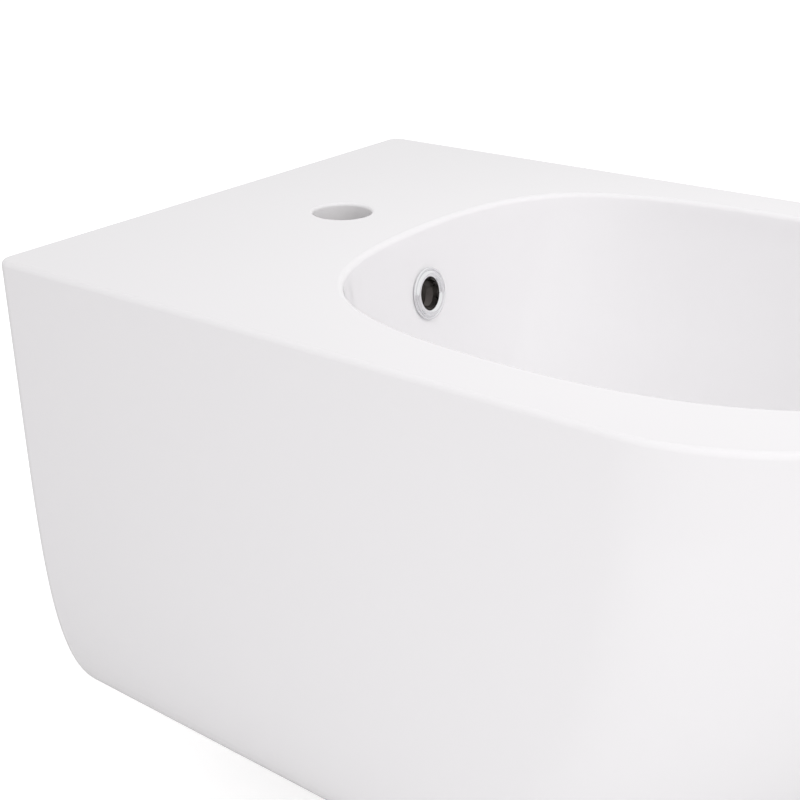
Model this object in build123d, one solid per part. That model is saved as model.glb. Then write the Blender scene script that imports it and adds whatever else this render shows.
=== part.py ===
from build123d import *
import math
import os

# Wall-hung bidet with its pop-up waste, bottle trap and wall fixings.
# Millimetres. +Z is up, +Y points into the wall, and the wall's face is the plane y = 0.
# The origin is midway between the two fixing studs, in the plane of the wall.
# Heights inside the ceramic are written as depths below the rim.

# Ceramic body, outside
WIDTH = 360.0
LENGTH = 510.0
HEIGHT = 300.0
RIM_ABOVE_STUDS = 95.0
CORNER_RADIUS = 9.0
EDGE_RADIUS = 3.0
WALL = 11.0
DECK_THICKNESS = 14.0
STRAIGHT_SIDE = 360.0
STRAIGHT_SKIRT = 40.0
# Side and front of the skirt tuck in by these amounts at the skirt's four control depths.
SKIRT_DEPTHS = [STRAIGHT_SKIRT, 215.0, HEIGHT, HEIGHT]
SIDE_TUCK = [0.0, 0.0, -5.0, 70.0]
FRONT_TUCK = [0.0, 0.0, 110.0, 260.0]
SHORTER_SIDE = 0.8

# Bowl
LIP_HALF = 144.0
LIP_REAR = 149.0
LIP_WIDEST = 305.0
LIP_FRONT = 474.0
LIP_RADIUS = 3.5
BOWL_DEPTH = 138.0
BOWL_DEPTHS = [0.0, 72.0, 130.0, BOWL_DEPTH]
SIDE_FALL = [0.0, 8.0, 48.0, 108.0]
REAR_FALL = [0.0, 7.0, 27.0, 60.0]
FRONT_FALL = [0.0, 10.0, 92.0, 193.0]
# How far the lip outline swells towards its corners, and the round drain rim's own value.
LIP_PULL = {"front_side": 0.59, "front_tip": 0.61, "rear_side": 0.74, "rear_tip": 0.79}
ROUND_PULL = 0.5523

# Tap hole and overflow
TAP_HOLE_RADIUS = 17.5
TAP_HOLE_Y = -92.0
TAP_HOLE_EDGE = 2.0
OVERFLOW_DEPTH = 38.9
OVERFLOW_HOLE_RADIUS = 12.5
OVERFLOW_HOLE_LENGTH = 18.0
# The flat deck behind this line has only the tap hole in it.
TAP_DECK_Y = -140.0
# The wall of the bowl is steep above this depth, and its floor with the drain lies below.
BOWL_FLOOR_DEPTH = 84.0
CHANNEL_HALF = 14.0
CHANNEL_WALL = 8.0

# Drain hole
DRAIN_Y = -245.0
DRAIN_RADIUS = 23.0
DRAIN_SEAT_RADIUS = 33.6
DRAIN_CONE_TOP = 141.1
DRAIN_CONE_END = 149.6
DRAIN_BOSS_RADIUS = 40.0
DRAIN_BOSS_DEPTH = 186.0

# Wall fixings
STUD_SPACING = 180.0
STUD_RADIUS = 6.0
NUT_END_RADIUS = 5.84
SHANK_RADIUS = 5.45
NUT_THREAD_END = -22.0
STUD_INTO_WALL = 75.0
STUD_INTO_BODY = 55.0
FIXING_HOLE_RADIUS = 10.0
FIXING_BOSS_RADIUS = 24.0
FIXING_BOSS_LENGTH = 28.0
NUT_ACROSS_FLATS = 19.0
NUT_HEIGHT = 10.0
SLEEVE_FLANGE = 2.5
WASHER_THICKNESS = 2.5

# Openings of the rear wall and of the underside
REAR_WALL = 14.0
NOTCH_HALF = 58.0
NOTCH_DEPTH = 70.0
UNDERSIDE_HALF = 92.0
UNDERSIDE_FRONT = 228.0

# Waste and plug, from the flange in the bowl down to the trap
WASTE_RADIUS = 21.0
WASTE_BORE = 17.5
FLANGE_DEPTH = 138.3
SEAT_DEPTH = 140.8
CARTRIDGE_TOP = 146.0
PORT_DEPTH = 167.0
CARTRIDGE_FLOOR = 175.5
BAR_TOP = 178.0
BAR_END = 185.0
LOWER_GASKET_END = 191.0
SLIP_WASHER_END = 193.0
BACK_NUT_END = 203.0
INLET_NUT_TOP = 206.0
WASTE_END_DEPTH = 218.0
INLET_WASHER_END = 220.6
ELBOW_COLLAR_END = 223.0
INLET_NUT_END = 225.5
STEM_RADIUS = 4.0
STEM_COLLAR_TOP = 149.0
STEM_COLLAR_END = 151.5
HUB_RADIUS = 7.0
CAP_SHOULDER = 129.5
FIT = 0.05

# Bottle trap
PIPE_RADIUS = 16.0
PIPE_BORE = 14.0
BOTTLE_Y = -88.0
BOTTLE_RADIUS = 32.0
BOTTLE_WALL = 2.6
BOTTLE_TOP_DEPTH = 176.0
BOTTLE_END_DEPTH = 283.0
BAFFLE_END_DEPTH = 268.0
CUP_TOP = 274.0
CUP_FLOOR = 287.0
CUP_END = 291.0
CUP_RADIUS = 37.0
INLET_DEPTH = 248.0
OUTLET_DEPTH = 200.0
BEND_RADIUS = 24.0
SOCKET_RADIUS = 20.0
INLET_SOCKET_END = BOTTLE_Y - BOTTLE_RADIUS - 12.0
OUTLET_SOCKET_END = BOTTLE_Y + BOTTLE_RADIUS + 14.0
SLIP_NUT_RADIUS = 25.0
PIPE_SLACK = 0.3
PIPE_INTO_WALL = 60.0
PIPE_BEAD_RADIUS = 17.4
NUT_FLUTES = 12


def up(depth):
    """Height in the part's frame of a depth below the rim."""
    return RIM_ABOVE_STUDS - depth


def row_faces(rows):
    """Smooth patches through four rows of control points, strip by strip round the outline."""
    patches = []
    for strip in range(len(rows[0][1])):
        grid = [[(x, y, up(depth)) for x, y in outline[strip]] for depth, outline in rows]
        patches.append(Face.make_bezier_surface(grid))
    return patches


def outline_face(depth, outline):
    """Flat face inside one row's outline."""
    edges = []
    for strip in outline:
        points = [(x, y, up(depth)) for x, y in strip]
        edges.append(Line(*points).edge() if len(points) == 2 else Bezier(*points).edge())
    return Face(Wire(edges))


def skinned(rows):
    """Closed solid between the first and the last row, with a curved skin around it."""
    faces = row_faces(rows) + [outline_face(*rows[0]), outline_face(*rows[-1])]
    solid = Solid(Shell(faces))
    return Part() + (solid if solid.volume > 0 else Solid(Shell(faces[::-1])))


def mirrored(strips):
    """Right-hand strips, listed from the rear round to the front, completed by the left side."""
    left = [[(-x, y) for x, y in reversed(strip)] for strip in reversed(strips)]
    return strips + left


def body_outline(side_tuck, front_tuck, rear=0.0):
    """Plan of the body: straight rear and sides, and a front that swells towards its corners."""
    half = WIDTH / 2 - side_tuck
    front = LENGTH - front_tuck
    share = front_tuck / FRONT_TUCK[-1]
    straight = STRAIGHT_SIDE - SHORTER_SIDE * front_tuck
    side_pull = (0.40 + 0.12 * share) * (front - straight)
    front_pull = 0.55 * half
    corner = CORNER_RADIUS
    reach = corner * (1 - ROUND_PULL)
    return mirrored([
        [(0, -rear), (half - corner, -rear)],
        [(half - corner, -rear), (half - reach, -rear), (half, -rear - reach), (half, -rear - corner)],
        [(half, -rear - corner), (half, -straight)],
        [(half, -straight), (half, -straight - side_pull), (front_pull, -front), (0, -front)],
    ])


def bowl_outline(side_fall, rear_fall, front_fall, grown=0.0):
    """Plan of the bowl at one row: a broad egg at the lip that turns into a circle at the drain."""
    share = side_fall / SIDE_FALL[-1]
    half = LIP_HALF - side_fall + grown
    widest = LIP_WIDEST + share * (-DRAIN_Y - LIP_WIDEST)
    rear = LIP_REAR + rear_fall - grown
    front = LIP_FRONT - front_fall + grown
    pull = {key: value + share * (ROUND_PULL - value) for key, value in LIP_PULL.items()}
    rear_side = (half, -widest + pull["rear_side"] * (widest - rear))
    front_side = (half, -widest - pull["front_side"] * (front - widest))
    return mirrored([
        [(0, -rear), (pull["rear_tip"] * half, -rear), rear_side, (half, -widest)],
        [(half, -widest), front_side, (pull["front_tip"] * half, -front), (0, -front)],
    ])


def bowl_rear(depth):
    """Distance from the wall to the bowl's rear face on the centre line, at a depth."""
    low, high = 0.0, 1.0
    while high - low > 1e-6:
        middle = (low + high) / 2
        low, high = (middle, high) if cubic(BOWL_DEPTHS, middle) < depth else (low, middle)
    return LIP_REAR + cubic(REAR_FALL, low)


def cubic(values, t):
    """Value of a cubic with four control values."""
    u = 1 - t
    a, b, c, d = values
    return u ** 3 * a + 3 * u * u * t * b + 3 * u * t * t * c + t ** 3 * d


def turned(profile):
    """Solid of revolution about Z from (radius, height) points."""
    points = [(radius, 0, height) for radius, height in profile]
    return revolve(make_face(Polyline(points, close=True)), axis=Axis.Z)


def at_drain(profile):
    """Turned piece on the drain's axis, from (radius, depth) points."""
    return Pos(0, DRAIN_Y, 0) * turned([(radius, up(depth)) for radius, depth in profile])


def at_bottle(profile):
    """Turned piece on the trap bottle's axis, from (radius, depth) points."""
    return Pos(0, BOTTLE_Y, 0) * turned([(radius, up(depth)) for radius, depth in profile])


def level(profile, x, z):
    """Turned piece on an axis along Y through (x, z), from (radius, y) points."""
    return Pos(x, 0, z) * Rot(-90, 0, 0) * turned(profile)


def tube(outer, inner, start, end):
    """(radius, place) profile of a plain tube."""
    return [(inner, start), (outer, start), (outer, end), (inner, end)]


def hexagon(across_flats, start, end, chamfer=1.0):
    """Hexagonal prism about Z with its corners turned off at both ends."""
    corner = across_flats / math.sqrt(3)
    prism = extrude(Pos(0, 0, start) * RegularPolygon(corner, 6), end - start)
    flat = across_flats / 2
    limit = [
        (0, start), (flat, start), (corner, start + chamfer),
        (corner, end - chamfer), (flat, end), (0, end),
    ]
    return prism & turned(limit)


def side_view(points, half, radius=0.0):
    """Plate from (y, depth) points in the side view, as thick as twice half, about the centre line."""
    face = make_face(Polyline([(0, y, up(depth)) for y, depth in points], close=True))
    if radius:
        face = fillet(face.vertices(), radius)
    return extrude(face, half, dir=(1, 0, 0), both=True)


# The bowl wall's lean at the overflow, and the overflow hole's axis, pointing into the bowl
STEP = 2.0
LEAN = math.atan2(
    bowl_rear(OVERFLOW_DEPTH + STEP) - bowl_rear(OVERFLOW_DEPTH - STEP), 2 * STEP
)
OVERFLOW_PLANE = Plane(
    origin=(0, -bowl_rear(OVERFLOW_DEPTH), up(OVERFLOW_DEPTH)),
    x_dir=(1, 0, 0),
    z_dir=(0, -math.cos(LEAN), math.sin(LEAN)),
)


def ceramic_body():
    """One glazed casting: deck, rim, bowl, skirt, overflow passage and fixing bosses."""
    rim_block = extrude(outline_face(STRAIGHT_SKIRT, body_outline(0, 0)), STRAIGHT_SKIRT, dir=(0, 0, 1))
    rim_block = fillet(rim_block.faces().sort_by(Axis.Z)[-1].edges(), EDGE_RADIUS)
    rows = [
        (depth, body_outline(side, front))
        for depth, side, front in zip(SKIRT_DEPTHS, SIDE_TUCK, FRONT_TUCK)
    ]
    outside = rim_block + skinned(rows)

    # The hollow between the bowl and the skirt
    hollow_depths = [STRAIGHT_SKIRT, SKIRT_DEPTHS[1], HEIGHT - WALL, HEIGHT - WALL]
    grow = [WALL, WALL, 0.6 * WALL, 0.0]
    hollow_rows = [
        (depth, body_outline(side + more, front + more, REAR_WALL))
        for depth, side, front, more in zip(hollow_depths, SIDE_TUCK, FRONT_TUCK, grow)
    ]
    hollow_top = extrude(
        outline_face(*hollow_rows[0]), STRAIGHT_SKIRT - DECK_THICKNESS, dir=(0, 0, 1)
    )
    hollow = hollow_top + skinned(hollow_rows)

    # The bowl, its outer side and its inner side
    bowl_rows = list(zip(BOWL_DEPTHS, SIDE_FALL, REAR_FALL, FRONT_FALL))
    inner_bowl = skinned([(row[0], bowl_outline(*row[1:])) for row in bowl_rows])
    outer_depths = [0.0, BOWL_DEPTHS[1], BOWL_DEPTHS[2] + WALL, BOWL_DEPTH + WALL]
    outer_grow = [WALL, WALL, 0.9 * WALL, 0.4 * WALL]
    outer_bowl = skinned([
        (depth, bowl_outline(*row[1:], grown))
        for depth, row, grown in zip(outer_depths, bowl_rows, outer_grow)
    ])

    # The water way from the overflow hole down behind the bowl to the drain hole
    passage_points = [
        (-165, 22), (-130, 22), (-130, 62), (-147, 104), (-172, 142), (-198, 174),
        (DRAIN_Y + 10, 174), (DRAIN_Y + 10, 160), (-200, 156),
    ]
    casing_points = [
        (-165, 14), (-122, 14), (-122, 64), (-139, 108), (-164, 147), (-192, DRAIN_BOSS_DEPTH),
        (DRAIN_Y + 10, DRAIN_BOSS_DEPTH), (DRAIN_Y + 10, 148), (-200, 140),
    ]
    passage = side_view(passage_points, CHANNEL_HALF, 4) - outer_bowl
    casing = side_view(casing_points, CHANNEL_HALF + CHANNEL_WALL, 5)

    drain_boss = at_drain([
        (0, BOWL_DEPTH - 4), (DRAIN_BOSS_RADIUS, BOWL_DEPTH - 4),
        (DRAIN_BOSS_RADIUS, DRAIN_BOSS_DEPTH - 2), (DRAIN_BOSS_RADIUS - 2, DRAIN_BOSS_DEPTH),
        (0, DRAIN_BOSS_DEPTH),
    ])
    body = outside - hollow + outer_bowl + casing + drain_boss
    for side in (-1, 1):
        boss = [(0, -FIXING_BOSS_LENGTH), (FIXING_BOSS_RADIUS - 2, -FIXING_BOSS_LENGTH),
                (FIXING_BOSS_RADIUS, 2 - FIXING_BOSS_LENGTH), (FIXING_BOSS_RADIUS, -1), (0, -1)]
        body += level(boss, side * STUD_SPACING / 2, 0)

    body = body - inner_bowl - passage
    lip = [edge for edge in body.edges() if on_lip(edge)]
    body = fillet(lip, LIP_RADIUS)

    # Drain seat: an upright wall, a cone for the gasket, and the hole through the boss
    body -= at_drain([
        (0, BOWL_DEPTH - 6), (DRAIN_SEAT_RADIUS, BOWL_DEPTH - 6), (DRAIN_SEAT_RADIUS, DRAIN_CONE_TOP),
        (DRAIN_RADIUS, DRAIN_CONE_END), (DRAIN_RADIUS, DRAIN_BOSS_DEPTH + 1),
        (0, DRAIN_BOSS_DEPTH + 1),
    ])
    # Tap hole, with its top edge softened by the glaze
    tap_hole = turned([
        (0, up(DECK_THICKNESS + 1)), (TAP_HOLE_RADIUS, up(DECK_THICKNESS + 1)),
        (TAP_HOLE_RADIUS, up(-1)), (0, up(-1)),
    ])
    body -= Pos(0, TAP_HOLE_Y, 0) * tap_hole
    rim_of_hole = [
        edge for edge in body.edges().filter_by(GeomType.CIRCLE)
        if abs(edge.radius - TAP_HOLE_RADIUS) < 0.01 and abs(edge.center().Z - up(0)) < 0.01
    ]
    body = fillet(rim_of_hole, TAP_HOLE_EDGE)
    # Overflow hole, from the bowl into the passage
    body -= OVERFLOW_PLANE * Pos(0, 0, 4 - OVERFLOW_HOLE_LENGTH / 2) * Cylinder(
        OVERFLOW_HOLE_RADIUS, OVERFLOW_HOLE_LENGTH
    )
    for side in (-1, 1):
        hole = [(0, -40), (FIXING_HOLE_RADIUS, -40), (FIXING_HOLE_RADIUS, 1), (0, 1)]
        body -= level(hole, side * STUD_SPACING / 2, 0)

    # Notch in the rear wall for the pipes, open to the underside
    notch_height = HEIGHT - NOTCH_DEPTH + 1
    notch = Box(2 * NOTCH_HALF, REAR_WALL + 12, notch_height)
    notch = fillet(notch.edges().filter_by(Axis.Y).group_by(Axis.Z)[-1], 24)
    body -= Pos(0, -REAR_WALL / 2, up(NOTCH_DEPTH + notch_height / 2)) * notch
    # Underside opening for the hands, the spanner and the trap's cup
    opening = extrude(RectangleRounded(2 * UNDERSIDE_HALF, UNDERSIDE_FRONT - REAR_WALL, 30), 40)
    body -= Pos(0, -(UNDERSIDE_FRONT + REAR_WALL) / 2, up(HEIGHT + 10)) * opening
    return body


def ceramic_regions():
    """The one casting as simple regions that touch face to face: its deck, rim, bowl, drain, back and
    skirt. The back is the plate against the wall with its two fixing bosses."""
    body = ceramic_body()
    reach = 2 * LENGTH
    top = Pos(0, 0, up(DECK_THICKNESS) + reach / 2) * Box(reach, reach, reach)
    bottom = Pos(0, 0, up(BOWL_FLOOR_DEPTH) - reach / 2) * Box(reach, reach, reach)
    ahead_of_deck = Pos(0, TAP_DECK_Y - reach / 2, 0) * Box(reach, reach, reach)
    ahead_of_back = Pos(0, -REAR_WALL - reach / 2, 0) * Box(reach, reach, reach)
    shell, bowl = (body - top).solids().sort_by(Axis.Z)
    *bosses, skirt = (shell & ahead_of_back).solids().sort_by(SortBy.VOLUME)
    return {
        "ceramic_deck": body & top - ahead_of_deck,
        "ceramic_rim": body & top & ahead_of_deck,
        "ceramic_bowl": bowl - bottom,
        "ceramic_drain": bowl & bottom,
        "ceramic_back": Compound(children=[*(shell - ahead_of_back).solids(), *bosses]),
        "ceramic_skirt": skirt,
    }


def on_lip(edge):
    """True for the edges where the bowl meets the flat top."""
    box = edge.bounding_box()
    flat = box.size.Z < 0.01 and abs(box.max.Z - up(0)) < 0.01
    inside = -box.max.Y > LIP_REAR - 1 and -box.min.Y < LIP_FRONT + 1 and box.max.X < LIP_HALF + 1
    return flat and inside and box.min.X > -LIP_HALF - 1


def overflow_ring():
    """Pressed brass trim ring, chromed, with a rolled face, a short sleeve and three spring legs."""
    stand_off = 0.35
    face_radius, throat, sleeve = 15.3, 9.3, 10.3
    face = turned([
        (sleeve, stand_off), (face_radius - 0.4, stand_off), (face_radius, stand_off + 0.6),
        (face_radius - 0.3, stand_off + 1.3), (face_radius - 1.2, stand_off + 1.7),
        (face_radius - 1.6, stand_off + 1.6), (face_radius - 2.6, stand_off + 2.3),
        (throat + 1.2, stand_off + 2.6), (throat + 0.2, stand_off + 2.0), (throat, stand_off + 1.1),
        (throat, -3.0), (sleeve, -3.0),
    ])
    spring = turned([
        (throat, -2.0), (sleeve, -2.0), (sleeve, -6.0), (sleeve + 1.9, -10.6), (sleeve + 1.5, -13.0),
        (throat + 1.5, -13.0), (throat + 1.9, -10.8), (throat, -6.2),
    ])
    legs = []
    for angle in (30, 150, 270):
        strip = Rot(0, 0, angle) * Pos(sleeve + 4, 0, -8) * Box(2 * sleeve, 7, 12)
        legs.append(spring & strip)
    return OVERFLOW_PLANE * (face + legs)


def waste_body():
    """Drain body: conical flange, threaded tube with overflow ports, and the bar for the cartridge."""
    rim = 31.5
    body = at_drain([
        (rim - 3.0, FLANGE_DEPTH), (rim - 0.5, FLANGE_DEPTH), (rim, FLANGE_DEPTH + 0.5),
        (rim, FLANGE_DEPTH + 2.0), (WASTE_RADIUS + 1.5, 147.5), (WASTE_RADIUS, 147.5),
        (WASTE_RADIUS, WASTE_END_DEPTH), (WASTE_BORE, WASTE_END_DEPTH),
        (WASTE_BORE, SEAT_DEPTH + 0.8), (WASTE_BORE + 0.8, SEAT_DEPTH), (25.2, SEAT_DEPTH),
    ])
    port = fillet(Box(12, 10, 10).edges().filter_by(Axis.X), 2)
    for angle in range(0, 360, 90):
        body -= Pos(0, DRAIN_Y, up(PORT_DEPTH)) * Rot(0, 0, angle) * Pos(WASTE_RADIUS, 0, 0) * port
    bar = at_drain(tube(7.5, STEM_RADIUS + FIT, BAR_TOP, BAR_END))
    for angle in (45, 165, 285):
        rib = Pos(12.4, 0, 0) * Box(10.6, 3, BAR_END - BAR_TOP - 1)
        bar += Pos(0, DRAIN_Y, up((BAR_TOP + BAR_END) / 2)) * Rot(0, 0, angle) * rib
    return body + bar


def waste_top_gasket():
    """Rubber cone between the flange and the glazed seat."""
    return at_drain([(31.0, 140.75), (31.9, 142.4), (23.9, 148.8), (22.6, 148.8), (22.6, 147.6)])


def waste_back_nut():
    """Flanged brass nut on the waste body's thread."""
    flange_end = SLIP_WASHER_END + 2
    nut = hexagon(50, up(BACK_NUT_END), up(flange_end), 1.5)
    nut += turned(tube(29, WASTE_RADIUS - 1, up(flange_end), up(SLIP_WASHER_END)))
    nut -= Cylinder(WASTE_RADIUS + FIT, 400)
    return Pos(0, DRAIN_Y, 0) * nut


def plug_cap():
    """Domed chrome cap with the hub that screws onto the stem."""
    return at_drain([
        (0, 124.6), (10, 124.9), (20, 125.9), (27, 127.3), (29.4, 128.2), (30, 129.0), (29.6, 129.7),
        (28.6, 129.9), (27.6, CAP_SHOULDER), (15.8, CAP_SHOULDER), (15.8, 132.2), (HUB_RADIUS, 132.2),
        (HUB_RADIUS, 137.0), (STEM_RADIUS + FIT, 137.0), (STEM_RADIUS + FIT, 131.0), (0, 131.0),
    ])


def plug_seal():
    """Flat rubber ring held on the cap's shoulder."""
    return at_drain([
        (15.85, CAP_SHOULDER), (23.4, CAP_SHOULDER), (24.2, 130.3), (24.2, 131.8), (23.4, 132.6),
        (15.85, 132.6),
    ])


def plug_stem():
    """Rod with the collar that the spring pushes up against the cartridge's top."""
    return at_drain([
        (0, 131.1), (3.5, 131.1), (STEM_RADIUS, 131.6), (STEM_RADIUS, STEM_COLLAR_TOP),
        (6.4, STEM_COLLAR_TOP), (6.4, STEM_COLLAR_END), (3, STEM_COLLAR_END), (3, 165.5),
        (2.5, 166.0), (0, 166.0),
    ])


def plug_cartridge():
    """Housing with a guide hole on top and a threaded pin for the waste body's bar below."""
    return at_drain([
        (STEM_RADIUS + FIT, CARTRIDGE_TOP), (8.3, CARTRIDGE_TOP), (9.0, CARTRIDGE_TOP + 0.7),
        (9.0, BAR_TOP), (STEM_RADIUS, BAR_TOP), (STEM_RADIUS, BAR_END + 1), (0, BAR_END + 1),
        (0, CARTRIDGE_FLOOR), (6.9, CARTRIDGE_FLOOR), (6.9, STEM_COLLAR_TOP - 0.3),
        (STEM_RADIUS + FIT, STEM_COLLAR_TOP - 0.3),
    ])


def plug_spring():
    """Compression spring between the stem's collar and the cartridge's floor."""
    wire = 0.6
    mean = 5.2
    turns = 7
    end_gap = 0.1
    rise = CARTRIDGE_FLOOR - STEM_COLLAR_END - 2 * wire - 2 * end_gap
    path = Helix(rise / turns, rise, mean)
    spring = sweep(Plane(path @ 0, z_dir=path % 0) * Circle(wire), path=path)
    return Pos(0, DRAIN_Y, up(CARTRIDGE_FLOOR) + wire + end_gap) * spring


def trap_inlet_nut():
    """Ribbed union nut that pulls the elbow up against the waste's end."""
    outer = 27.0
    throat = PIPE_RADIUS + PIPE_SLACK
    shelf = ELBOW_COLLAR_END + FIT
    nut = at_drain([
        (WASTE_RADIUS + FIT, INLET_NUT_TOP), (outer - 1, INLET_NUT_TOP), (outer, INLET_NUT_TOP + 1),
        (outer, INLET_NUT_END - 1), (outer - 1, INLET_NUT_END), (throat, INLET_NUT_END),
        (throat, shelf), (WASTE_RADIUS + FIT, shelf),
    ])
    return nut - Pos(0, DRAIN_Y, 0) * grips(outer, INLET_NUT_TOP, INLET_NUT_END)


def grips(radius, start, end):
    """Shallow finger flutes around a plastic nut on a vertical axis."""
    flutes = []
    for turn in range(NUT_FLUTES):
        flute = Pos(radius + 1.6, 0, up((start + end) / 2)) * Cylinder(2.4, end - start + 2)
        flutes.append(Rot(0, 0, 360 / NUT_FLUTES * turn) * flute)
    return Part() + flutes


def trap_elbow():
    """Bent waste pipe: a collar under the waste, one quarter bend, and a run to the bottle."""
    start = (0, DRAIN_Y, up(ELBOW_COLLAR_END))
    corner = (0, DRAIN_Y, up(INLET_DEPTH) + BEND_RADIUS)
    turn_end = (0, DRAIN_Y + BEND_RADIUS, up(INLET_DEPTH))
    finish = (0, BOTTLE_Y - BOTTLE_RADIUS - 6, up(INLET_DEPTH))
    middle = BEND_RADIUS * math.sqrt(0.5)
    halfway = (0, DRAIN_Y + BEND_RADIUS - middle, up(INLET_DEPTH) + BEND_RADIUS - middle)
    path = Wire([
        Line(start, corner).edge(),
        ThreePointArc(corner, halfway, turn_end).edge(),
        Line(turn_end, finish).edge(),
    ])
    section = Plane(start, z_dir=(0, 0, -1))
    pipe = sweep(section * Circle(PIPE_RADIUS), path=path)
    bore = sweep(section * Circle(PIPE_BORE), path=path)
    collar = at_drain(tube(20.6, PIPE_BORE, INLET_WASHER_END, ELBOW_COLLAR_END))
    return pipe - bore + collar


def socket_bar(radius, end, start, depth):
    """Round bar along Y between two places, from which a socket or its bore is made."""
    return level([(0, end), (radius, end), (radius, start), (0, start)], 0, up(depth))


def trap_body():
    """Bottle with a dividing wall, a low inlet socket and a high outlet socket."""
    inner = BOTTLE_RADIUS - BOTTLE_WALL
    bore = PIPE_RADIUS + PIPE_SLACK
    ceiling = BOTTLE_TOP_DEPTH + BOTTLE_WALL
    body = at_bottle([
        (0, BOTTLE_TOP_DEPTH), (BOTTLE_RADIUS - 6, BOTTLE_TOP_DEPTH),
        (BOTTLE_RADIUS - 2, BOTTLE_TOP_DEPTH + 1.5), (BOTTLE_RADIUS, BOTTLE_TOP_DEPTH + 5),
        (BOTTLE_RADIUS, BOTTLE_END_DEPTH), (0, BOTTLE_END_DEPTH),
    ])
    body += socket_bar(SOCKET_RADIUS, INLET_SOCKET_END, BOTTLE_Y, INLET_DEPTH)
    body += socket_bar(SOCKET_RADIUS, OUTLET_SOCKET_END, BOTTLE_Y, OUTLET_DEPTH)
    body -= at_bottle([
        (0, ceiling), (inner - 4, ceiling), (inner, ceiling + 3.4), (inner, BOTTLE_END_DEPTH + 1),
        (0, BOTTLE_END_DEPTH + 1),
    ])
    body -= socket_bar(bore, INLET_SOCKET_END - 1, BOTTLE_Y - 20, INLET_DEPTH)
    body -= socket_bar(bore, OUTLET_SOCKET_END + 1, BOTTLE_Y + 20, OUTLET_DEPTH)
    baffle_top = BOTTLE_TOP_DEPTH + 1
    baffle_height = BAFFLE_END_DEPTH - baffle_top
    baffle = Pos(0, BOTTLE_Y, up(baffle_top + baffle_height / 2)) * Box(80, 2.5, baffle_height)
    room = [(0, baffle_top), (inner + 1, baffle_top), (inner + 1, BOTTLE_END_DEPTH),
            (0, BOTTLE_END_DEPTH)]
    return body + (baffle & at_bottle(room))


def trap_cup():
    """Screw-off cleaning cup with grip flutes and a square foot for a spanner."""
    bore = BOTTLE_RADIUS + FIT
    foot_width = 22.0
    foot_height = 6.0
    cup = at_bottle([
        (bore, CUP_TOP), (CUP_RADIUS - 1, CUP_TOP), (CUP_RADIUS, CUP_TOP + 1),
        (CUP_RADIUS, CUP_END - 3), (CUP_RADIUS - 3, CUP_END), (0, CUP_END), (0, CUP_FLOOR),
        (bore, CUP_FLOOR),
    ])
    cup -= Pos(0, BOTTLE_Y, 0) * grips(CUP_RADIUS, CUP_TOP, CUP_END)
    return cup + Pos(0, BOTTLE_Y, up(CUP_END + 2)) * Box(foot_width, foot_width, foot_height)


def trap_cup_seal():
    """Rubber ring between the bottle's end and the cup's floor."""
    return at_bottle(tube(BOTTLE_RADIUS, BOTTLE_RADIUS - 4.5, BOTTLE_END_DEPTH, CUP_FLOOR))


def slip_nut(socket_end, sign, depth):
    """Ribbed nut over a socket's end; it squeezes the washer round the pipe."""
    mouth = socket_end - 9 * sign
    back = socket_end + 7 * sign
    shelf = back - 2.5 * sign
    outer = SLIP_NUT_RADIUS
    throat = PIPE_RADIUS + PIPE_SLACK
    nut = level([
        (SOCKET_RADIUS + FIT, mouth), (outer - 1, mouth), (outer, mouth + sign),
        (outer, back - sign), (outer - 1, back), (throat, back), (throat, shelf),
        (SOCKET_RADIUS + FIT, shelf),
    ], 0, up(depth))
    flutes = []
    for turn in range(NUT_FLUTES):
        flute = Pos(outer + 1.6, (mouth + back) / 2, 0) * Rot(90, 0, 0) * Cylinder(2.3, 18)
        flutes.append(Rot(0, 360 / NUT_FLUTES * turn, 0) * flute)
    return nut - Pos(0, 0, up(depth)) * (Part() + flutes)


def slip_washer(socket_end, sign, depth):
    """Rubber ring between a socket's mouth and its nut."""
    ring = tube(SOCKET_RADIUS - 0.1, PIPE_RADIUS + FIT, socket_end, socket_end + 4.4 * sign)
    return level(ring, 0, up(depth))


def waste_pipe():
    """Straight pipe from the bottle's outlet into the wall, with a bead that stops it there."""
    start = BOTTLE_Y + BOTTLE_RADIUS + 2
    return level([
        (PIPE_BORE, start), (PIPE_RADIUS, start), (PIPE_RADIUS, -8), (PIPE_BEAD_RADIUS - 0.4, -7),
        (PIPE_BEAD_RADIUS, -6), (PIPE_BEAD_RADIUS, -5), (PIPE_BEAD_RADIUS - 0.4, -4),
        (PIPE_RADIUS, -3), (PIPE_RADIUS, PIPE_INTO_WALL - 1), (PIPE_RADIUS - 1, PIPE_INTO_WALL),
        (PIPE_BORE, PIPE_INTO_WALL),
    ], 0, up(OUTLET_DEPTH))


def pair(profile):
    """The same turned piece on both stud axes."""
    return Compound(children=[level(profile, side * STUD_SPACING / 2, 0) for side in (-1, 1)])


def fixing_studs():
    """Two M12 studs: a thread in the wall, a plain shank, and a thread for the nut."""
    back = STUD_INTO_WALL
    front = -STUD_INTO_BODY
    return pair([
        (0, front), (NUT_END_RADIUS - 1, front), (NUT_END_RADIUS, front + 1),
        (NUT_END_RADIUS, NUT_THREAD_END), (SHANK_RADIUS, NUT_THREAD_END), (SHANK_RADIUS, 0),
        (STUD_RADIUS, 0), (STUD_RADIUS, back - 1), (STUD_RADIUS - 1, back), (0, back),
    ])


def fixing_sleeves():
    """Two flanged plastic collars that keep the steel off the ceramic."""
    face = -FIXING_BOSS_LENGTH
    slack = 0.15
    bore = STUD_RADIUS + slack
    barrel = FIXING_HOLE_RADIUS - slack
    return pair([
        (bore, face - SLEEVE_FLANGE), (15, face - SLEEVE_FLANGE), (16, face - SLEEVE_FLANGE + 1),
        (16, face), (barrel, face), (barrel, -1), (bore, -1),
    ])


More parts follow.
